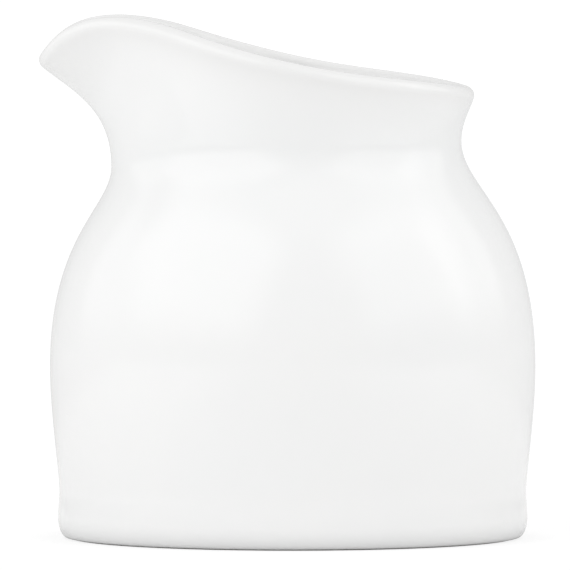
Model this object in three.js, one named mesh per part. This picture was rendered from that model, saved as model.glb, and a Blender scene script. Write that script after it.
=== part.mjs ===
// A porcelain cream jug with no handle: a round belly, a narrow waist and a rim drawn out into a beak.
// Millimetres, +Z up. It stands on z = 0 and pours towards -X.
import * as THREE from "three";
import { ParametricGeometry } from "three/addons/geometries/ParametricGeometry.js";

const { degToRad, lerp, smoothstep } = THREE.MathUtils;

// ---- Outside of the body, from the table up: rings round the jug's axis ----
const HEEL_RADIUS = 32.9;
const HEEL_HEIGHT = 3;
const HEEL_ROUND = 1.3; // how far the heel curves in under the jug
const ANKLE_RADIUS = 32.7; // a faint hollow above the heel
const ANKLE_HEIGHT = 6.5;
const BELLY_RADIUS = 34;
const BELLY_HEIGHT = 24;
const WAIST_RADIUS = 23.6;
const RIM_RADIUS = 25.4;
const RIM_HEIGHT = 63.3; // top of the lip at the back
const NECK_HEIGHT = 7.7; // waist to the top of the lip, at the back
const RIM_FLARE = degToRad(20); // lean of the wall under the lip, from upright

// ---- Beak: how the rings change towards the pouring side ----
const BEAK_REACH = 35.5; // jug's axis to the tip
const BEAK_LEAN = degToRad(50); // lean of the wall under the tip, from upright
const BEAK_NOSE = degToRad(22.4); // a wider angle makes the tip blunter
const BEAK_FLANK = degToRad(15.4); // a wider angle spreads the beak's sides
const CREST_RISE = 10.3; // climb of the rim line from the back to the beak
const RIM_SAG = 1.4; // dip of the rim line at the sides, below an even climb
const TIP_DROOP = 5.3; // fall of the rim line from the beak's crest to its tip
const DROOP_SHARPNESS = 3.1; // higher keeps the fall closer to the tip
const CHEEK_DEPTH = 0.8; // how far the rim draws in on each side of the beak
const CHEEK_ANGLE = degToRad(40);
const CHEEK_SPREAD = degToRad(15);
const THROAT_RADIUS = 25.4; // the waist under the beak
const THROAT_DROP = 3.6; // the waist lies this much lower under the beak
const THROAT_SPREAD = degToRad(38);

// ---- Wall ----
const WALL = 3;
const LIP = 2.7; // thickness of the rounded lip
const FLOOR = 3.2;
const FLOOR_ROUND = 7; // inside corner between wall and floor
const UNDERSIDE_HEIGHT = 1.2; // the glazed underside clears the table by this much

// ---- Bare foot ring ----
const RING_WIDTH = 3.4;
const RING_HEIGHT = 1.5;
const RING_EDGE = 0.25; // sanded bevel along its standing edges
const GLAZE_LINE = 0.15; // the glaze stops this far above the table
const JOINT_GAP = 0.3; // clearance between the ring and its groove
const HEEL_LAND = 0.1; // flat strip between the groove and the heel's round

// ---- Fullness of the outside between two rings, as shares of the height between them ----
const ANKLE_TO_BELLY = [0.16, 0.37];
const BELLY_TO_WAIST = [0.69, 0.22];
const BELLY_TO_THROAT = [0.66, 0.2];
const WAIST_TO_RIM = [0.4, 0.3];
const THROAT_TO_TIP = [0.6, 0.36];

// ---- Fineness ----
const COLUMNS = 60;
const FRONT_CROWDING = 0.5; // draws the columns together at the beak
const TURN_STEP = 1e-4; // for the slope of the wall

// The origin is the middle of the jug's own width and length, so its axis stands off by this much.
const widestRadius = Math.max(BELLY_RADIUS, HEEL_RADIUS);
const axisX = (Math.max(BEAK_REACH, widestRadius) - widestRadius) / 2;

const grooveOuterRadius = HEEL_RADIUS - HEEL_ROUND - HEEL_LAND;
const ringOuterRadius = grooveOuterRadius - JOINT_GAP;
const ringInnerRadius = ringOuterRadius - RING_WIDTH;
const grooveInnerRadius = ringInnerRadius - JOINT_GAP;
const grooveTop = RING_HEIGHT + JOINT_GAP;
const waistHeight = RIM_HEIGHT - NECK_HEIGHT;
const floorTop = UNDERSIDE_HEIGHT + FLOOR;

// Angles are measured from the pouring direction, so that 0 is the tip and PI is the back.

// The beak's share of the rim's outline: 1 at the tip and nothing round the back.
function beakShare(angle) {
  return 1 / (1 + (angle / BEAK_NOSE) ** 2 + (angle / BEAK_FLANK) ** 4);
}

function throatShare(angle) {
  return Math.exp(-((angle / THROAT_SPREAD) ** 2));
}

function cheekShare(angle) {
  return Math.exp(-(((Math.abs(angle) - CHEEK_ANGLE) / CHEEK_SPREAD) ** 2));
}

function upright(radius, height) {
  return { radius, height, lean: 0 };
}

function waistRing(angle) {
  const share = throatShare(angle);
  return upright(lerp(WAIST_RADIUS, THROAT_RADIUS, share), waistHeight - THROAT_DROP * share);
}

// The outer edge of the lip. The lip's round is centred half its thickness in from the rim's own sizes.
function rimRing(angle) {
  const beak = beakShare(angle);
  const lean = lerp(RIM_FLARE, BEAK_LEAN, beak);
  const outermost = lerp(RIM_RADIUS, BEAK_REACH, beak) - CHEEK_DEPTH * cheekShare(angle);
  const line = RIM_HEIGHT + (CREST_RISE * (1 + Math.cos(angle))) / 2 - RIM_SAG * Math.sin(angle) ** 4;
  const top = line - TIP_DROOP * beak ** DROOP_SHARPNESS;
  return {
    radius: outermost - (LIP / 2) * (1 - Math.cos(lean)),
    height: top - (LIP / 2) * (1 + Math.sin(lean)),
    lean,
  };
}

// A curve from one ring up to the next, which leaves and meets them along their lean.
function climb(from, to, [fromShare, toShare]) {
  const rise = to.height - from.height;
  const start = new THREE.Vector2(from.radius, from.height);
  const end = new THREE.Vector2(to.radius, to.height);
  const leave = new THREE.Vector2(Math.sin(from.lean), Math.cos(from.lean)).multiplyScalar(rise * fromShare);
  const meet = new THREE.Vector2(Math.sin(to.lean), Math.cos(to.lean)).multiplyScalar(rise * toShare);
  return new THREE.CubicBezierCurve(start, start.clone().add(leave), end.clone().sub(meet), end);
}

function outsideCurves(angle) {
  const heel = upright(HEEL_RADIUS, HEEL_HEIGHT);
  const ankle = upright(ANKLE_RADIUS, ANKLE_HEIGHT);
  const belly = upright(BELLY_RADIUS, BELLY_HEIGHT);
  const waist = waistRing(angle);
  const shoulder = BELLY_TO_WAIST.map((share, end) => lerp(share, BELLY_TO_THROAT[end], throatShare(angle)));
  const neck = WAIST_TO_RIM.map((share, end) => lerp(share, THROAT_TO_TIP[end], beakShare(angle)));
  return [
    climb(heel, ankle, [1 / 3, 1 / 3]),
    climb(ankle, belly, ANKLE_TO_BELLY),
    climb(belly, waist, shoulder),
    climb(waist, rimRing(angle), neck),
  ];
}

// Levels count the rings up the outside, and the fraction is the way along a curve.
const HEEL = 0;
const ANKLE = 1;
const BELLY = 2;
const WAIST = 3;
const RIM = 4;

function around(radius, angle, height) {
  return new THREE.Vector3(-radius * Math.cos(angle), radius * Math.sin(angle), height);
}

function outside(level, angle) {
  const curve = Math.min(Math.floor(level), RIM - 1);
  const point = outsideCurves(angle)[curve].getPoint(level - curve);
  return around(point.x, angle, point.y);
}

function slopeUp(level, angle) {
  return outside(level + TURN_STEP, angle).sub(outside(level - TURN_STEP, angle)).normalize();
}

function outward(level, angle) {
  const sideways = outside(level, angle + TURN_STEP).sub(outside(level, angle - TURN_STEP));
  return slopeUp(level, angle).cross(sideways).normalize();
}

function inside(level, angle) {
  const thickness = lerp(WALL, LIP, smoothstep(level, WAIST, RIM));
  return outside(level, angle).addScaledVector(outward(level, angle), -thickness);
}

// The lip is half round, from the outer edge over the top to the inner edge.
function lip(share, angle) {
  const turn = Math.PI * share;
  const normal = outward(RIM, angle);
  return outside(RIM, angle)
    .addScaledVector(normal, (LIP / 2) * (Math.cos(turn) - 1))
    .addScaledVector(slopeUp(RIM, angle), (LIP / 2) * Math.sin(turn));
}

function levelAtHeight(height) {
  let low = HEEL;
  let high = BELLY;
  for (let halving = 0; halving < 40; halving += 1) {
    const middle = (low + high) / 2;
    if (outside(middle, Math.PI).z < height) low = middle;
    else high = middle;
  }
  return low;
}

const floorRoundLevel = levelAtHeight(floorTop + FLOOR_ROUND);

function heel(share, angle) {
  const centre = HEEL_RADIUS - HEEL_ROUND;
  const turn = (Math.PI / 2) * share;
  const drop = (HEEL_HEIGHT - GLAZE_LINE) * Math.cos(turn);
  return around(centre + HEEL_ROUND * Math.sin(turn), angle, HEEL_HEIGHT - drop);
}

function insideCorner(share, angle) {
  const wallEnd = inside(floorRoundLevel, angle);
  const wallRadius = Math.hypot(wallEnd.x, wallEnd.y);
  const turn = (Math.PI / 2) * share;
  const drop = (wallEnd.z - floorTop) * Math.sin(turn);
  return around(wallRadius - FLOOR_ROUND * (1 - Math.cos(turn)), angle, wallEnd.z - drop);
}

function insideFloor(share, angle) {
  const edge = insideCorner(1, angle);
  return around(Math.hypot(edge.x, edge.y) * (1 - share), angle, floorTop);
}

// A straight stretch of the section, given by its two ends as [radius, height].
function straight(from, to) {
  return (share, angle) => around(lerp(from[0], to[0], share), angle, lerp(from[1], to[1], share));
}

function outsideStretch(from, to) {
  return (share, angle) => outside(lerp(from, to, share), angle);
}

function insideStretch(from, to) {
  return (share, angle) => inside(lerp(from, to, share), angle);
}

// The whole section: from the middle of the underside, up the outside, over the lip and down to the floor.
const SECTION = [
  { steps: 2, at: straight([0, UNDERSIDE_HEIGHT], [grooveInnerRadius, UNDERSIDE_HEIGHT]) },
  { steps: 1, at: straight([grooveInnerRadius, UNDERSIDE_HEIGHT], [grooveInnerRadius, grooveTop]) },
  { steps: 1, at: straight([grooveInnerRadius, grooveTop], [grooveOuterRadius, grooveTop]) },
  { steps: 1, at: straight([grooveOuterRadius, grooveTop], [grooveOuterRadius, GLAZE_LINE]) },
  { steps: 1, at: straight([grooveOuterRadius, GLAZE_LINE], [HEEL_RADIUS - HEEL_ROUND, GLAZE_LINE]) },
  { steps: 4, at: heel },
  { steps: 1, at: outsideStretch(HEEL, ANKLE) },
  { steps: 3, at: outsideStretch(ANKLE, BELLY) },
  { steps: 7, at: outsideStretch(BELLY, WAIST) },
  { steps: 6, at: outsideStretch(WAIST, RIM) },
  { steps: 5, at: lip },
  { steps: 6, at: insideStretch(RIM, WAIST) },
  { steps: 6, at: insideStretch(WAIST, BELLY) },
  { steps: 2, at: insideStretch(BELLY, floorRoundLevel) },
  { steps: 4, at: insideCorner },
  { steps: 2, at: insideFloor },
];
const ROWS = SECTION.reduce((sum, stretch) => sum + stretch.steps, 0);

function sectionPoint(row, angle) {
  let rowsLeft = row;
  for (const { steps, at } of SECTION) {
    if (rowsLeft <= steps) return at(rowsLeft / steps, angle);
    rowsLeft -= steps;
  }
  return insideFloor(1, angle);
}

function jugBody() {
  const surface = (turn, climbed, target) => {
    const evenly = 2 * Math.PI * turn;
    const angle = Math.PI - evenly - FRONT_CROWDING * Math.sin(evenly);
    target.copy(sectionPoint(Math.round(climbed * ROWS), angle));
  };
  const glaze = new THREE.MeshStandardMaterial({ color: 0xf5f5f4, roughness: 0.1, metalness: 0 });
  const mesh = new THREE.Mesh(new ParametricGeometry(surface, COLUMNS, ROWS), glaze);
  mesh.name = "jug_body";
  return mesh;
}

function footRing() {
  const profile = [
    [ringInnerRadius + RING_EDGE, 0],
    [ringOuterRadius - RING_EDGE, 0],
    [ringOuterRadius, RING_EDGE],
    [ringOuterRadius, RING_HEIGHT],
    [ringInnerRadius, RING_HEIGHT],
    [ringInnerRadius, RING_EDGE],
    [ringInnerRadius + RING_EDGE, 0],
  ].map(([radius, height]) => new THREE.Vector2(radius, height));
  const bare = new THREE.MeshStandardMaterial({ color: 0xe8e5de, roughness: 0.75, metalness: 0 });
  const mesh = new THREE.Mesh(new THREE.LatheGeometry(profile, COLUMNS), bare);
  mesh.rotation.x = Math.PI / 2;
  mesh.name = "foot_ring";
  return mesh;
}

const jug = new THREE.Group();
jug.add(jugBody(), footRing());
jug.position.x = axisX;

const group = new THREE.Group();
group.add(jug);

export default group;
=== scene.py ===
"""A glazed porcelain cream jug on its bare foot ring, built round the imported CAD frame. Metres, +Z up."""
import math
from functools import partial

import bpy
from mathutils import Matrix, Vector


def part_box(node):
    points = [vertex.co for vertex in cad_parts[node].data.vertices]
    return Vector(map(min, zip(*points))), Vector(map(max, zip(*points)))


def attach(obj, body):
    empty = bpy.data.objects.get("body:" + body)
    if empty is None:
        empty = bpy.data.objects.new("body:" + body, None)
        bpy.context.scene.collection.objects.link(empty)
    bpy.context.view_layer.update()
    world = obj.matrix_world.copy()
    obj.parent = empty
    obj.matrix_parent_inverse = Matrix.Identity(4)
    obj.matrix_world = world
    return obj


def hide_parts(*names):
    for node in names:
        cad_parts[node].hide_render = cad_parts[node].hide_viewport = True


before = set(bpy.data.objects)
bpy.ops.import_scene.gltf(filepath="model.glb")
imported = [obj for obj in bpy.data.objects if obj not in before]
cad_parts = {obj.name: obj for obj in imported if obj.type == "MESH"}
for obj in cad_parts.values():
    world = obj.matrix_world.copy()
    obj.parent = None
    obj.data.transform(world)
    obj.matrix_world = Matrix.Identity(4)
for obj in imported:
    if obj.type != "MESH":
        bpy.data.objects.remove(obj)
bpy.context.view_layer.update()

MM = 0.001

# ---- Where the frame puts the foot ring: the jug is turned about the ring's own axis ----
ring_low, ring_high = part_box("foot_ring")
AXIS_X = (ring_low[0] + ring_high[0]) / 2
RING_RADIUS = (ring_high[1] - ring_low[1]) / 2
RING_HEIGHT = ring_high[2]
RING_WIDTH = 3.4 * MM  # from its outside to its inside

# ---- The jug's sizes: these are the named inputs of its node tree ----
JUG_SIZES = {
    "Axis X": AXIS_X,
    "Heel radius": 32.9 * MM,
    "Heel height": 3 * MM,
    "Heel round": 1.3 * MM,
    "Ankle radius": 32.7 * MM,
    "Ankle height": 6.5 * MM,
    "Belly radius": 34 * MM,
    "Belly height": 24 * MM,
    "Waist radius": 23.6 * MM,
    "Rim radius": 25.4 * MM,
    "Rim height": 63.3 * MM,
    "Rim flare": math.radians(20),
    "Neck height": 7.7 * MM,
    "Beak reach": 35.5 * MM,
    "Beak lean": math.radians(50),
    "Beak nose": math.radians(22.4),
    "Beak flank": math.radians(15.4),
    "Crest rise": 10.3 * MM,
    "Rim sag": 1.4 * MM,
    "Tip droop": 5.3 * MM,
    "Droop sharpness": 3.1,
    "Cheek depth": 0.8 * MM,
    "Cheek angle": math.radians(40),
    "Cheek spread": math.radians(15),
    "Throat radius": 25.4 * MM,
    "Throat drop": 3.6 * MM,
    "Throat spread": math.radians(38),
    "Wall": 3 * MM,
    "Lip": 2.7 * MM,
    "Floor top": 4.4 * MM,
    "Floor round": 7 * MM,
    "Underside height": 1.2 * MM,
    "Glaze line": 0.15 * MM,
    "Ring radius": RING_RADIUS,
    "Ring width": RING_WIDTH,
    "Ring height": RING_HEIGHT,
    "Wobble": 0.05 * MM,
}
# Fullness of the outside between two rings: how far the curve leaves and meets them along their lean.
FULLNESS = {
    "Heel leave": 1 / 3,
    "Heel meet": 1 / 3,
    "Ankle leave": 0.16,
    "Ankle meet": 0.37,
    "Belly leave": 0.69,
    "Belly meet": 0.22,
    "Throat leave": 0.66,
    "Throat meet": 0.2,
    "Waist leave": 0.4,
    "Waist meet": 0.3,
    "Tip leave": 0.6,
    "Tip meet": 0.36,
}
JUG_INPUTS = JUG_SIZES | FULLNESS

# ---- Fineness of the meshes ----
COLUMNS = 320  # faces round the jug, and round the ring
FRONT_CROWDING = 0.5  # higher draws more of the jug's columns towards the beak
SLOPE_STEP = 0.002  # the step in level or angle over which a slope is measured
MERGE_DISTANCE = 0.002 * MM
RING_EDGE_STEPS = 5
HALVINGS = 30  # enough to find a level to its last digit

# ---- Small shapes at the foot ----
SEAT_GAP = 0.02 * MM  # between the glazed skin and the bare ring
GLAZE_FILM = 0.3 * MM  # from the ring's side to the far side of the glaze's rounded edge
FOOT_FILLET = 0.45 * MM  # between the underside and that edge
RING_EDGE = 0.22 * MM

# ---- Unevenness of a cast and hand-finished skin ----
WOBBLE_PATTERN = 20 * MM  # the size of its swellings
WOBBLE_FADE = (3 * MM, 15 * MM)  # none below the first height, all of it above the second

# Levels count the rings up the outside, and the fraction is the way along the curve between two of them.
HEEL, ANKLE, BELLY, WAIST, RIM = range(5)

QUARTER_TURN = math.pi / 2
EVEN = (0.0, 0.0)  # glaze that is neither thin nor pooled from one end of a strip to the other
HEEL_THINNESS = 0.6  # of the glaze where the heel starts


# ---------------------------------------------------------------- node trees, written as expressions

class Value:
    """An output socket. Arithmetic on it adds Math nodes to its tree."""

    def __init__(self, maker, socket):
        self.maker = maker
        self.socket = socket

    def math(self, operation, *values):
        return self.maker.add("ShaderNodeMath", {"operation": operation}, dict(enumerate(values)))

    def __add__(self, other):
        return self.math("ADD", self, other)

    def __radd__(self, other):
        return self.math("ADD", other, self)

    def __sub__(self, other):
        return self.math("SUBTRACT", self, other)

    def __rsub__(self, other):
        return self.math("SUBTRACT", other, self)

    def __mul__(self, other):
        return self.math("MULTIPLY", self, other)

    def __rmul__(self, other):
        return self.math("MULTIPLY", other, self)

    def __truediv__(self, other):
        return self.math("DIVIDE", self, other)

    def __rtruediv__(self, other):
        return self.math("DIVIDE", other, self)

    def __pow__(self, other):
        return self.math("POWER", self, other)

    def __neg__(self):
        return self.math("MULTIPLY", self, -1)

    def __abs__(self):
        return self.math("ABSOLUTE", self)

    def sin(self):
        return self.math("SINE", self)

    def cos(self):
        return self.math("COSINE", self)

    def exp(self):
        return self.math("EXPONENT", self)

    def floor(self):
        return self.math("FLOOR", self)

    def at_least(self, other):
        return self.math("MAXIMUM", self, other)

    def at_most(self, other):
        return self.math("MINIMUM", self, other)


class Maker:
    """Adds the nodes of one tree."""

    def __init__(self, tree):
        self.tree = tree

    def add(self, kind, settings=None, inputs=None, output=0):
        """A node of that kind. Its settings are set first, then its sockets get values or links."""
        node = self.tree.nodes.new(kind)
        for name, setting in (settings or {}).items():
            if name == "choices":
                for _ in range(setting - len(node.index_switch_items)):
                    node.index_switch_items.new()
            else:
                setattr(node, name, setting)
        for key, value in (inputs or {}).items():
            for one in value if isinstance(value, list) else [value]:
                if isinstance(one, Value):
                    self.tree.links.new(one.socket, node.inputs[key])
                else:
                    node.inputs[key].default_value = one
        return Value(self, node.outputs[output]) if node.outputs else None

    def vector(self, operation, first, second=None, scale=None, output=0):
        inputs = {0: first}
        if second is not None:
            inputs[1] = second
        if scale is not None:
            inputs["Scale"] = scale
        return self.add("ShaderNodeVectorMath", {"operation": operation}, inputs, output)

    def combine(self, x, y, z):
        return self.add("ShaderNodeCombineXYZ", inputs={0: x, 1: y, 2: z})

    def part(self, vector, axis):
        """One of a vector's three numbers."""
        return self.add("ShaderNodeSeparateXYZ", inputs={0: vector}, output=axis)

    def smooth(self, value, low, high, start=0.0, end=1.0):
        inputs = {"Value": value, "From Min": low, "From Max": high, "To Min": start, "To Max": end}
        return self.add("ShaderNodeMapRange", {"interpolation_type": "SMOOTHSTEP"}, inputs)


def mix(start, end, share):
    return start + (end - start) * share


def bezier(start, leave, meet, end, share):
    """A cubic curve's value. It works on numbers and on sockets."""
    left = 1 - share
    rising = start * left * left + 3 * leave * left * share
    falling = 3 * meet * left * share + end * share * share
    return rising * left + falling * share


def new_geometry_tree(name, inputs, outputs):
    """The maker of a new Geometry Nodes tree with these sockets, and its inputs as values, by name."""
    tree = bpy.data.node_groups.new(name, "GeometryNodeTree")
    for socket_name, kind in inputs.items():
        tree.interface.new_socket(socket_name, in_out="INPUT", socket_type=kind)
    for socket_name, kind in outputs.items():
        tree.interface.new_socket(socket_name, in_out="OUTPUT", socket_type=kind)
    maker = Maker(tree)
    group_input = tree.nodes.new("NodeGroupInput")
    return maker, {socket.name: Value(maker, socket) for socket in group_input.outputs if socket.name}


def float_sockets(names):
    return {name: "NodeSocketFloat" for name in names}


# ---------------------------------------------------------------- the jug's shape

def pick(maker, index, choices):
    """The choice at this place in the list, counted from 0."""
    inputs = {"Index": index} | {place + 1: choice for place, choice in enumerate(choices)}
    return maker.add("GeometryNodeIndexSwitch", {"data_type": "FLOAT", "choices": len(choices)}, inputs)


def outside_tree():
    """The outside of the jug: a level up the wall and an angle from the tip give a point."""
    sockets = float_sockets(["Level", "Angle", *JUG_INPUTS])
    maker, size = new_geometry_tree("Jug outside", sockets, {"Point": "NodeSocketVector"})
    level = size["Level"]
    angle = size["Angle"]

    nose = angle / size["Beak nose"]
    flank = angle / size["Beak flank"]
    beak = 1 / (1 + nose * nose + flank * flank * flank * flank)
    throat_turn = angle / size["Throat spread"]
    throat = (-(throat_turn * throat_turn)).exp()
    cheek_turn = (abs(angle) - size["Cheek angle"]) / size["Cheek spread"]
    cheek = (-(cheek_turn * cheek_turn)).exp()

    waist_radius = mix(size["Waist radius"], size["Throat radius"], throat)
    waist_height = size["Rim height"] - size["Neck height"] - size["Throat drop"] * throat

    side = angle.sin() * angle.sin()
    line = size["Rim height"] + size["Crest rise"] * (1 + angle.cos()) / 2 - size["Rim sag"] * side * side
    top = line - size["Tip droop"] * beak ** size["Droop sharpness"]
    outermost = mix(size["Rim radius"], size["Beak reach"], beak) - size["Cheek depth"] * cheek
    lean = mix(size["Rim flare"], size["Beak lean"], beak)
    rim_radius = outermost - size["Lip"] / 2 * (1 - lean.cos())
    rim_height = top - size["Lip"] / 2 * (1 + lean.sin())

    radii = [size["Heel radius"], size["Ankle radius"], size["Belly radius"], waist_radius, rim_radius]
    heights = [size["Heel height"], size["Ankle height"], size["Belly height"], waist_height, rim_height]
    leaves = [
        size["Heel leave"],
        size["Ankle leave"],
        mix(size["Belly leave"], size["Throat leave"], throat),
        mix(size["Waist leave"], size["Tip leave"], beak),
    ]
    meets = [
        size["Heel meet"],
        size["Ankle meet"],
        mix(size["Belly meet"], size["Throat meet"], throat),
        mix(size["Waist meet"], size["Tip meet"], beak),
    ]
    curve = level.floor().at_least(HEEL).at_most(WAIST)
    share = level - curve
    low_radius = pick(maker, curve, radii[:-1])
    high_radius = pick(maker, curve, radii[1:])
    low_height = pick(maker, curve, heights[:-1])
    high_height = pick(maker, curve, heights[1:])
    rise = high_height - low_height
    leave = rise * pick(maker, curve, leaves)
    meet = rise * pick(maker, curve, meets)
    high_lean = pick(maker, curve, [0.0, 0.0, 0.0, lean])

    radius = bezier(low_radius, low_radius, high_radius - meet * high_lean.sin(), high_radius, share)
    last_height = high_height - meet * high_lean.cos()
    height = bezier(low_height, low_height + leave, last_height, high_height, share)
    point = maker.combine(size["Axis X"] - radius * angle.cos(), radius * angle.sin(), height)
    maker.add("NodeGroupOutput", inputs={"Point": point})
    return maker.tree


def floor_round_level(sizes):
    """The level at which the inside wall starts to turn into the floor."""
    height = sizes["Floor top"] + sizes["Floor round"]
    ankle, belly = sizes["Ankle height"], sizes["Belly height"]
    leave = ankle + (belly - ankle) * sizes["Ankle leave"]
    meet = belly - (belly - ankle) * sizes["Ankle meet"]
    low, high = 0.0, 1.0
    for _ in range(HALVINGS):
        middle = (low + high) / 2
        if bezier(ankle, leave, meet, belly, middle) < height:
            low = middle
        else:
            high = middle
    return ANKLE + low


class JugShape:
    """The places on the jug's skin, as values of the tree that builds it."""

    def __init__(self, maker, size, outside):
        self.maker = maker
        self.size = size
        self.outside_tree = outside

    def on_ring(self, radius, angle, height):
        """A point on a level circle round the jug's axis."""
        return self.maker.combine(self.size["Axis X"] - radius * angle.cos(), radius * angle.sin(), height)

    def outside(self, level, angle):
        inputs = {"Level": level, "Angle": angle} | {name: self.size[name] for name in JUG_INPUTS}
        return self.maker.add("GeometryNodeGroup", {"node_tree": self.outside_tree}, inputs)

    def slope_up(self, level, angle):
        above = self.outside(level + SLOPE_STEP, angle)
        below = self.outside(level - SLOPE_STEP, angle)
        return self.maker.vector("NORMALIZE", self.maker.vector("SUBTRACT", above, below))

    def outward(self, level, angle):
        ahead = self.outside(level, angle + SLOPE_STEP)
        behind = self.outside(level, angle - SLOPE_STEP)
        sideways = self.maker.vector("SUBTRACT", ahead, behind)
        across = self.maker.vector("CROSS_PRODUCT", self.slope_up(level, angle), sideways)
        return self.maker.vector("NORMALIZE", across)

    def moved(self, point, direction, distance):
        return self.maker.vector("ADD", point, self.maker.vector("SCALE", direction, scale=distance))

    def inside(self, level, angle):
        share = self.maker.smooth(level, WAIST, RIM)
        thickness = mix(self.size["Wall"], self.size["Lip"], share)
        return self.moved(self.outside(level, angle), self.outward(level, angle), -thickness)

    def lip(self, share, angle):
        """The lip is half round, from the outer edge over the top to the inner edge."""
        half = self.size["Lip"] / 2
        turn = math.pi * share
        edge = self.moved(self.outside(RIM, angle), self.outward(RIM, angle), half * (turn.cos() - 1))
        return self.moved(edge, self.slope_up(RIM, angle), half * turn.sin())

    def climb_outside(self, start, end, share, angle):
        return self.outside(mix(start, end, share), angle)

    def climb_inside(self, start, end, share, angle):
        return self.inside(mix(start, end, share), angle)

    def straight(self, start, end, share, angle):
        """A straight stretch of the section between two pairs of radius and height."""
        return self.on_ring(mix(start[0], end[0], share), angle, mix(start[1], end[1], share))

    def arc(self, centre, radius, start, end, share, angle):
        """A round stretch of the section: its angles start from straight out and turn upwards."""
        turn = mix(start, end, share)
        return self.on_ring(centre[0] + radius * turn.cos(), angle, centre[1] + radius * turn.sin())

    def heel(self, share, angle):
        """The heel's round, from the glaze line out and up to the heel's full radius."""
        turn = QUARTER_TURN * share
        radius = self.size["Heel radius"] - self.size["Heel round"] + self.size["Heel round"] * turn.sin()
        drop = (self.size["Heel height"] - self.size["Glaze line"]) * turn.cos()
        return self.on_ring(radius, angle, self.size["Heel height"] - drop)

    def wall_end(self):
        """The radius and the height at which the inside wall starts to turn into the floor."""
        end = self.inside(floor_round_level(JUG_INPUTS), math.pi)
        return self.maker.part(end, "X") - self.size["Axis X"], self.maker.part(end, "Z")

    def inside_corner(self, share, angle):
        wall_radius, wall_height = self.wall_end()
        turn = QUARTER_TURN * share
        radius = wall_radius - self.size["Floor round"] * (1 - turn.cos())
        drop = (wall_height - self.size["Floor top"]) * turn.sin()
        return self.on_ring(radius, angle, wall_height - drop)

    def floor(self, share, angle):
        wall_radius, _ = self.wall_end()
        edge = wall_radius - self.size["Floor round"]
        return self.on_ring(edge * (1 - share), angle, self.size["Floor top"])


# A strip of the skin: its rows of faces, its place, and how thin and how pooled the glaze is at its ends;
# the thin glaze's darker tint is also painted shade.

def foot_strips(shape):
    """From the middle of the underside, round the groove that holds the ring, to the start of the heel."""
    size = shape.size
    line = size["Glaze line"]
    under = size["Underside height"]
    groove_top = size["Ring height"] + SEAT_GAP
    groove_inside = size["Ring radius"] - size["Ring width"] - SEAT_GAP
    groove_outside = size["Ring radius"] + SEAT_GAP
    roll = (GLAZE_FILM - SEAT_GAP) / 2
    film_inside = groove_inside - 2 * roll
    fillet_centre = (film_inside - FOOT_FILLET, under - FOOT_FILLET)
    inner_roll_centre = (groove_inside - roll, line + roll)
    outer_roll_centre = (groove_outside + roll, line + roll)
    heel_start = (size["Heel radius"] - size["Heel round"], line)

    underside = partial(shape.straight, (0.0, under), (fillet_centre[0], under))
    fillet = partial(shape.arc, fillet_centre, FOOT_FILLET, QUARTER_TURN, 0.0)
    film = partial(shape.straight, (film_inside, fillet_centre[1]), (film_inside, line + roll))
    inner_roll = partial(shape.arc, inner_roll_centre, roll, -2 * QUARTER_TURN, 0.0)
    inner_side = partial(shape.straight, (groove_inside, line + roll), (groove_inside, groove_top))
    top = partial(shape.straight, (groove_inside, groove_top), (groove_outside, groove_top))
    outer_side = partial(shape.straight, (groove_outside, groove_top), (groove_outside, line + roll))
    outer_roll = partial(shape.arc, outer_roll_centre, roll, -2 * QUARTER_TURN, -QUARTER_TURN)
    border = partial(shape.straight, (groove_outside + roll, line), heel_start)
    return [
        (6, underside, EVEN, EVEN),
        (6, fillet, EVEN, (0.0, 1.0)),
        (1, film, EVEN, (1.0, 0.0)),
        (6, inner_roll, (0.0, 1.0), EVEN),
        (1, inner_side, (1.0, 0.0), EVEN),
        (2, top, EVEN, EVEN),
        (1, outer_side, (0.0, 1.0), EVEN),
        (4, outer_roll, (1.0, 1.0), EVEN),
        (1, border, (1.0, HEEL_THINNESS), EVEN),
    ]


def body_strips(shape):
    """From the heel up the outside, over the lip and down the inside to the middle of the floor."""
    corner_level = floor_round_level(JUG_INPUTS)
    return [
        (12, shape.heel, (HEEL_THINNESS, 0.0), EVEN),
        (5, partial(shape.climb_outside, HEEL, ANKLE), EVEN, EVEN),
        (16, partial(shape.climb_outside, ANKLE, BELLY), EVEN, EVEN),
        (36, partial(shape.climb_outside, BELLY, WAIST), EVEN, (0.0, 1.0)),
        (28, partial(shape.climb_outside, WAIST, RIM), (0.0, 1.0), (1.0, 0.0)),
        (16, shape.lip, (1.0, 1.0), EVEN),
        (24, partial(shape.climb_inside, RIM, WAIST), (1.0, 0.0), EVEN),
        (30, partial(shape.climb_inside, WAIST, BELLY), EVEN, EVEN),
        (10, partial(shape.climb_inside, BELLY, corner_level), EVEN, EVEN),
        (12, shape.inside_corner, EVEN, (0.0, 1.0)),
        (6, shape.floor, EVEN, (1.0, 1.0)),
    ]


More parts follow.
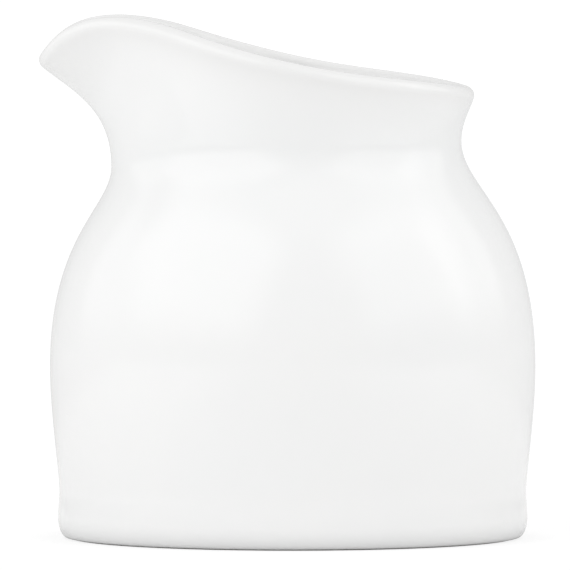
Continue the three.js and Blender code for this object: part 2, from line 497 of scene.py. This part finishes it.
def jug_tree(outside):
    """The whole jug as one closed skin, in strips from the underside's middle to the floor's middle."""
    sockets = float_sockets(JUG_INPUTS) | {"Columns": "NodeSocketInt", "Glaze": "NodeSocketMaterial"}
    maker, size = new_geometry_tree("Jug", sockets, {"Geometry": "NodeSocketGeometry"})
    shape = JugShape(maker, size, outside)
    strips = foot_strips(shape) + body_strips(shape)
    rows = sum(strip[0] for strip in strips)

    # A strip starts as a square with sides of 1 round the origin.
    # Half way across it is the tip of the beak, at angle 0.
    on_square = maker.add("GeometryNodeInputPosition")
    across = maker.part(on_square, "X") + 0.5
    share = maker.part(on_square, "Y") + 0.5
    evenly = 2 * math.pi * across
    angle = math.pi - evenly - FRONT_CROWDING * evenly.sin()

    sheets = []
    row = 0
    for steps, place, thin, pooled in strips:
        square = {"Size X": 1.0, "Size Y": 1.0, "Vertices X": size["Columns"], "Vertices Y": steps + 1}
        sheet = maker.add("GeometryNodeMeshGrid", inputs=square)
        unrolled = maker.combine(across, (row + share * steps) / rows, 0.0)
        sheet = store(maker, sheet, "UVMap", "FLOAT2", "CORNER", unrolled)
        sheet = store(maker, sheet, "thin_glaze", "FLOAT", "POINT", mix(*thin, share))
        sheet = store(maker, sheet, "pooled_glaze", "FLOAT", "POINT", mix(*pooled, share))
        placed = {"Geometry": sheet, "Position": place(share, angle)}
        sheets.append(maker.add("GeometryNodeSetPosition", inputs=placed))
        row += steps
    skin = maker.add("GeometryNodeJoinGeometry", inputs={"Geometry": sheets})
    skin = maker.add("GeometryNodeMergeByDistance", inputs={"Geometry": skin, "Distance": MERGE_DISTANCE})
    skin = uneven(maker, skin, size["Wobble"])
    skin = maker.add("GeometryNodeSetShadeSmooth", inputs={"Geometry": skin, "Shade Smooth": True})
    maker.add("NodeGroupOutput", inputs={"Geometry": finish_geometry(maker, skin, size["Glaze"])})
    return maker.tree


def uneven(maker, skin, depth):
    """The skin with slight swellings and hollows, up to this depth."""
    normal = maker.add("GeometryNodeInputNormal")
    place = maker.add("GeometryNodeInputPosition")
    swelling = noise(maker, place, WOBBLE_PATTERN, detail=1) - 0.5
    swelling = swelling * maker.smooth(maker.part(place, "Z"), *WOBBLE_FADE)
    offset = maker.vector("SCALE", normal, scale=2 * depth * swelling)
    return maker.add("GeometryNodeSetPosition", inputs={"Geometry": skin, "Offset": offset})


def store(maker, geometry, name, data_type, domain, value):
    inputs = {"Geometry": geometry, "Name": name, "Value": value}
    return maker.add("GeometryNodeStoreNamedAttribute", {"data_type": data_type, "domain": domain}, inputs)


def finish_geometry(maker, geometry, material):
    realized = maker.add("GeometryNodeRealizeInstances", inputs={"Geometry": geometry})
    return maker.add("GeometryNodeSetMaterial", inputs={"Geometry": realized, "Material": material})


def ring_tree():
    """The bare foot ring: a rounded rectangle carried round a circle."""
    names = ["Axis X", "Ring radius", "Ring width", "Ring height", "Edge"]
    sockets = float_sockets(names) | {"Bare porcelain": "NodeSocketMaterial"}
    maker, size = new_geometry_tree("Foot ring", sockets, {"Geometry": "NodeSocketGeometry"})
    middle = size["Ring radius"] - size["Ring width"] / 2
    circle = maker.add("GeometryNodeCurvePrimitiveCircle", inputs={"Resolution": COLUMNS, "Radius": middle})
    outline = {"Width": size["Ring width"], "Height": size["Ring height"]}
    section = maker.add("GeometryNodeCurvePrimitiveQuadrilateral", inputs=outline)
    rounding = {"Curve": section, "Count": RING_EDGE_STEPS, "Radius": size["Edge"]}
    section = maker.add("GeometryNodeFilletCurve", {"mode": "POLY"}, rounding)
    ring = maker.add("GeometryNodeCurveToMesh", inputs={"Curve": circle, "Profile Curve": section})
    lift = maker.combine(size["Axis X"], 0.0, size["Ring height"] / 2)
    ring = maker.add("GeometryNodeTransform", inputs={"Geometry": ring, "Translation": lift})
    ring = maker.add("GeometryNodeSetShadeSmooth", inputs={"Geometry": ring, "Shade Smooth": True})
    maker.add("NodeGroupOutput", inputs={"Geometry": finish_geometry(maker, ring, size["Bare porcelain"])})
    return maker.tree


def build(name, tree, values):
    """A plain mesh object made by a tree with these inputs."""
    piece = bpy.data.objects.new(name, bpy.data.meshes.new("start"))
    bpy.context.scene.collection.objects.link(piece)
    modifier = piece.modifiers.new("Shape", "NODES")
    modifier.node_group = tree
    for item in tree.interface.items_tree:
        if item.in_out == "INPUT":
            modifier[item.identifier] = values[item.name]
    graph = bpy.context.evaluated_depsgraph_get()
    made = piece.evaluated_get(graph)
    mesh = bpy.data.meshes.new_from_object(made, preserve_all_data_layers=True, depsgraph=graph)
    mesh.name = name
    piece.modifiers.remove(modifier)
    piece.data = mesh
    return piece


# ---------------------------------------------------------------- finishes

# ---- The glaze's colours, and how much of each lies over the whites ----
COOL_WHITE = (0.842, 0.845, 0.845, 1)
WARM_WHITE = (0.866, 0.865, 0.86, 1)
POOLED_TINT = (0.822, 0.83, 0.829, 1)
POOLED_SHARE = 0.6
# Thin glaze on the lip and edges: a real darker tint, and also painted shade that dims the lip's highlight.
THIN_GLAZE_AND_SHADE_TINT = (0.805, 0.803, 0.799, 1)
THIN_GLAZE_AND_SHADE_SHARE = 0.8
THINNING = 5  # higher keeps the thin glaze closer to the edges
SPECK_TINT = (0.42, 0.38, 0.33, 1)
SPECK_SHARE = 0.35
SPECKS = {"spacing": 13 * MM, "radius": 0.14 * MM, "kept": 0.22}

# ---- The glaze's patterns, roughness and relief ----
CLOUD_SIZE = 18 * MM
SMEAR_SIZE = 9 * MM
HAIRLINE_SIZE = 0.5 * MM
GLAZE_ROUGHNESS = 0.035
SMEAR_ROUGHNESS = 0.035
HAIRLINE_ROUGHNESS = 0.02
THIN_ROUGHNESS = 0.05
WAVE_SIZE = 9 * MM
WAVE_HEIGHT = 0.03 * MM
PEEL_SIZE = 1.8 * MM
PEEL_HEIGHT = 0.0022 * MM
PINHOLES = {"spacing": 8 * MM, "radius": 0.12 * MM, "kept": 0.3}
PINHOLE_DEPTH = 0.02 * MM
GLAZE_IOR = 1.52

# ---- The bare ring's colours, patterns, roughness and relief ----
DARK_BODY = (0.69, 0.672, 0.64, 1)
LIGHT_BODY = (0.76, 0.747, 0.715, 1)
TONE_SIZE = 6 * MM
GRINDING_TINT = (0.6, 0.585, 0.555, 1)
GRINDING_SHARE = 0.3
GRINDING_SIZE = 0.18 * MM
GRINDING_HEIGHT = 0.012 * MM
RADIAN_SIZE = 1 * MM  # what a radian round the ring counts as, so that the grinding marks run round it
RUBBED_TINT = (0.5, 0.49, 0.47, 1)
RUBBED_SHARE = 0.22
RUBBED_SIZE = 2.5 * MM
RUBBED_SPOTS = (0.5, 0.7)  # higher leaves fewer and smaller spots
RUBBED_RISE = (0.02 * MM, 0.2 * MM)  # the spots fade out between these heights
GRAIN_SIZE = 0.22 * MM
GRAIN_HEIGHT = 0.02 * MM
GRAIN_ROUGHNESS = 0.25
BARE_ROUGHNESS = 0.62
BARE_IOR = 1.5


def new_material(name):
    material = bpy.data.materials.new(name)
    material.use_nodes = True
    material.node_tree.nodes.clear()
    return material, Maker(material.node_tree)


def noise(maker, place, size, detail=2):
    inputs = {"Vector": place, "Scale": 1 / size, "Detail": detail}
    return maker.add("ShaderNodeTexNoise", inputs=inputs, output="Fac")


def dots(maker, place, spacing, radius, kept):
    """Small round dots: 1 in the middle of one and 0 outside. That share of the cells keeps its dot."""
    inputs = {"Vector": place, "Scale": 1 / spacing}
    near = maker.add("ShaderNodeTexVoronoi", inputs=inputs, output="Distance")
    cell = maker.add("ShaderNodeTexVoronoi", inputs=inputs, output="Color")
    chance = maker.add("ShaderNodeSeparateColor", inputs={0: cell}, output="Red")
    inside = 1 - maker.smooth(near, 0.5 * radius / spacing, radius / spacing)
    return inside * chance.math("LESS_THAN", chance, kept)


def blend(maker, share, first, second):
    return maker.add("ShaderNodeMix", {"data_type": "RGBA"}, {0: share, 6: first, 7: second}, 2)


def attribute(maker, name):
    return maker.add("ShaderNodeAttribute", {"attribute_name": name}, output="Fac")


def finish_surface(maker, colour, roughness, ior, height):
    """The shader of a finish, with its relief as a height in metres."""
    bump = maker.add("ShaderNodeBump", inputs={"Strength": 1.0, "Distance": 1.0, "Height": height})
    surface = {"Base Color": colour, "Roughness": roughness, "IOR": ior, "Normal": bump}
    shader = maker.add("ShaderNodeBsdfPrincipled", inputs=surface)
    maker.add("ShaderNodeOutputMaterial", inputs={"Surface": shader})


def glazed_porcelain():
    """A clear, glossy glaze on white porcelain: slightly wavy, thin on the lip and pooled in hollows. The
    thin glaze's darker tint on the lip is also painted shade.
    """
    material, maker = new_material("glazed_porcelain")
    place = maker.add("ShaderNodeTexCoord", output="Object")
    thin = attribute(maker, "thin_glaze") ** THINNING
    pooled = attribute(maker, "pooled_glaze")
    colour = blend(maker, noise(maker, place, CLOUD_SIZE, detail=3), COOL_WHITE, WARM_WHITE)
    colour = blend(maker, POOLED_SHARE * pooled, colour, POOLED_TINT)
    # Partly painted shade: the thin glaze's darker tint dims the lip's highlight.
    colour = blend(maker, THIN_GLAZE_AND_SHADE_SHARE * thin, colour, THIN_GLAZE_AND_SHADE_TINT)
    colour = blend(maker, SPECK_SHARE * dots(maker, place, **SPECKS), colour, SPECK_TINT)

    smears = noise(maker, place, SMEAR_SIZE, detail=4)
    hairlines = noise(maker, place, HAIRLINE_SIZE)
    roughness = GLAZE_ROUGHNESS + SMEAR_ROUGHNESS * smears + HAIRLINE_ROUGHNESS * hairlines
    roughness = roughness + THIN_ROUGHNESS * thin

    wave = noise(maker, place, WAVE_SIZE, detail=1)
    peel = noise(maker, place, PEEL_SIZE)
    pinholes = dots(maker, place, **PINHOLES)
    height = WAVE_HEIGHT * wave + PEEL_HEIGHT * peel - PINHOLE_DEPTH * pinholes
    finish_surface(maker, colour, roughness, GLAZE_IOR, height)
    return material


def bare_porcelain():
    """Fired porcelain with no glaze, ground flat: grain, grinding marks round the ring and rubbed spots."""
    material, maker = new_material("bare_porcelain")
    place = maker.add("ShaderNodeTexCoord", output="Object")
    centred = maker.vector("SUBTRACT", place, (AXIS_X, 0, 0))
    x, y, z = [maker.part(centred, axis) for axis in "XYZ"]
    radius = (x * x + y * y) ** 0.5
    turned = maker.combine(radius, x.math("ARCTAN2", y, x) * RADIAN_SIZE, z)
    grinding = noise(maker, turned, GRINDING_SIZE)
    grain = noise(maker, place, GRAIN_SIZE, detail=4)
    rubbed = maker.smooth(noise(maker, place, RUBBED_SIZE, detail=3), *RUBBED_SPOTS)
    rubbed = rubbed * (1 - maker.smooth(z, *RUBBED_RISE))

    colour = blend(maker, noise(maker, place, TONE_SIZE, detail=4), DARK_BODY, LIGHT_BODY)
    colour = blend(maker, GRINDING_SHARE * grinding, colour, GRINDING_TINT)
    colour = blend(maker, RUBBED_SHARE * rubbed, colour, RUBBED_TINT)
    roughness = BARE_ROUGHNESS + GRAIN_ROUGHNESS * grain
    height = GRINDING_HEIGHT * grinding + GRAIN_HEIGHT * grain
    finish_surface(maker, colour, roughness, BARE_IOR, height)
    return material


# ---------------------------------------------------------------- the studio

AIM = Vector((-0.33 * MM, 0, 35.4 * MM))
CAMERA_DISTANCE = 1.9
CAMERA_HEIGHT = 112 * MM
VIEW_WIDTH = 79.8 * MM  # what the camera takes in at the jug's distance
SENSOR_WIDTH = 36  # millimetres, as is the lens
SOFTBOX_FADE = 0.28  # the share of its side over which a soft box fades out
SOFTBOX_SHARE = (1 - SOFTBOX_FADE) ** 2  # what the fade leaves of its light
WHITE = (1, 1, 1, 1)
SURROUNDINGS = 0.72  # how bright the surroundings are to the jug, against the backdrop

FLOOR_REACH = 4.0
FLOOR_DROP = 0.02 * MM  # keeps the floor clear of the standing face
FLOOR_FADE = (0.06, 0.25)  # the floor turns into the backdrop between these distances
# Painted shadow: the floor's colour is darker under the jug, out to these distances.
SHADE_REACH = (33 * MM, 39 * MM)  # its shade under the jug ends between these distances
SHADED_FLOOR = (0.75, 0.75, 0.75, 1)
OPEN_FLOOR = (0.93, 0.93, 0.93, 1)
SHADOW_FILL = 0.8  # keeps the jug's shadow light
SEEN_GLOW = 1.05  # how bright the floor is to the camera, and then to the jug: its middle, sides and rear
MIDDLE_GLOW = 0.87
SIDE_GLOW = 1.16
REAR_GLOW = 0.76
SIDE_FADE = (0.2, 0.8)  # from the middle, at 0, to the sides, at 1
REAR_FADE = (-0.1, 0.2)  # from the front to the rear, along Y


def place_camera():
    data = bpy.data.cameras.new("camera")
    camera = bpy.data.objects.new("camera", data)
    bpy.context.scene.collection.objects.link(camera)
    camera.location = (AIM.x, -CAMERA_DISTANCE, CAMERA_HEIGHT)
    sight = AIM - camera.location
    camera.rotation_euler = sight.to_track_quat("-Z", "Y").to_euler()
    data.sensor_width = SENSOR_WIDTH
    data.lens = SENSOR_WIDTH * sight.length / VIEW_WIDTH
    bpy.context.scene.camera = camera


def fade_to_edges(maker, place, axis):
    from_edge = 0.5 - abs(maker.part(place, axis) - 0.5)
    return maker.smooth(from_edge, 0.0, SOFTBOX_FADE)


def softbox(name, position, size, radiance, aim=AIM):
    """A flat soft light that faces the jug, bright in the middle and fading to nothing at its edges."""
    data = bpy.data.lights.new(name, "AREA")
    data.shape = "RECTANGLE"
    data.size, data.size_y = size
    data.energy = radiance * math.pi * size[0] * size[1]
    data.use_nodes = True
    data.node_tree.nodes.clear()
    maker = Maker(data.node_tree)
    place = maker.add("ShaderNodeNewGeometry", output="Parametric")
    fade = fade_to_edges(maker, place, "X") * fade_to_edges(maker, place, "Y")
    glow = maker.add("ShaderNodeEmission", inputs={"Strength": fade / SOFTBOX_SHARE})
    maker.add("ShaderNodeOutputLight", inputs={"Surface": glow})
    light = bpy.data.objects.new(name, data)
    light.location = position
    light.rotation_euler = (Vector(aim) - light.location).to_track_quat("-Z", "Y").to_euler()
    light.visible_camera = False
    bpy.context.scene.collection.objects.link(light)


def seen_by_camera(maker):
    return maker.add("ShaderNodeLightPath", output="Is Camera Ray")


def light_studio():
    """White surroundings, dimmer to the jug than the backdrop, and soft boxes round and above it."""
    softbox("left_softbox", position=(-0.8, -0.6, 0.7), size=(2.3, 1.5), radiance=0.5)
    softbox("right_softbox", position=(0.95, -0.4, 0.7), size=(2.0, 1.4), radiance=0.38)
    softbox("back_right_softbox", position=(0.95, 0.25, 0.5), size=(1.0, 1.0), radiance=0.3)
    softbox("back_left_softbox", position=(-0.95, 0.3, 0.4), size=(0.8, 0.8), radiance=0.2)
    under_it = (0.27, -0.42, 0)
    softbox("overhead_softbox", position=(0.27, -0.42, 1.03), size=(2.0, 1.1), radiance=0.09, aim=under_it)
    world = bpy.data.worlds.new("studio")
    bpy.context.scene.world = world
    world.use_nodes = True
    world.node_tree.nodes.clear()
    maker = Maker(world.node_tree)
    strength = mix(SURROUNDINGS, 1.0, seen_by_camera(maker))
    background = maker.add("ShaderNodeBackground", inputs={"Color": WHITE, "Strength": strength})
    maker.add("ShaderNodeOutputWorld", inputs={"Surface": background})


def floor_material():
    """White, with a painted shadow under the jug, and fading into the white backdrop away from it."""
    material, maker = new_material("floor")
    place = maker.add("ShaderNodeTexCoord", output="Object")
    from_axis = maker.vector("DISTANCE", place, (AXIS_X, 0, 0), output="Value")
    away = maker.smooth(from_axis, *FLOOR_FADE)
    seen = seen_by_camera(maker)
    # Painted shadow: a darker floor colour close round the jug.
    shaded = blend(maker, maker.smooth(from_axis, *SHADE_REACH), SHADED_FLOOR, OPEN_FLOOR)
    surface = maker.add("ShaderNodeBsdfDiffuse", inputs={"Color": shaded})
    to_side = abs(maker.part(place, "X")) / from_axis
    front = maker.smooth(to_side, *SIDE_FADE, start=MIDDLE_GLOW, end=SIDE_GLOW)
    unseen = mix(front, REAR_GLOW, maker.smooth(maker.part(place, "Y"), *REAR_FADE))
    strength = mix(unseen, SEEN_GLOW, seen)
    glow = maker.add("ShaderNodeEmission", inputs={"Color": WHITE, "Strength": strength})
    share = mix(SHADOW_FILL * seen, 1, away)
    mixed = maker.add("ShaderNodeMixShader", inputs={0: share, 1: surface, 2: glow})
    maker.add("ShaderNodeOutputMaterial", inputs={"Surface": mixed})
    return material


def lay_floor():
    mesh = bpy.data.meshes.new("floor")
    signs = ((-1, -1), (1, -1), (1, 1), (-1, 1))
    corners = [(x * FLOOR_REACH, y * FLOOR_REACH, -FLOOR_DROP) for x, y in signs]
    mesh.from_pydata(corners, [], [range(4)])
    mesh.materials.append(floor_material())
    floor = bpy.data.objects.new("floor", mesh)
    bpy.context.scene.collection.objects.link(floor)


# ---------------------------------------------------------------- putting it together

place_camera()
light_studio()
lay_floor()
bpy.context.scene.view_settings.view_transform = "Standard"

jug = build("glazed_jug", jug_tree(outside_tree()), JUG_INPUTS | {
    "Columns": COLUMNS + 1, "Glaze": glazed_porcelain()})
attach(jug, "root")
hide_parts("jug_body")

foot = build("bare_foot", ring_tree(), {
    "Axis X": AXIS_X, "Ring radius": RING_RADIUS, "Ring width": RING_WIDTH, "Ring height": RING_HEIGHT,
    "Edge": RING_EDGE, "Bare porcelain": bare_porcelain()})
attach(foot, "root")
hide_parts("foot_ring")
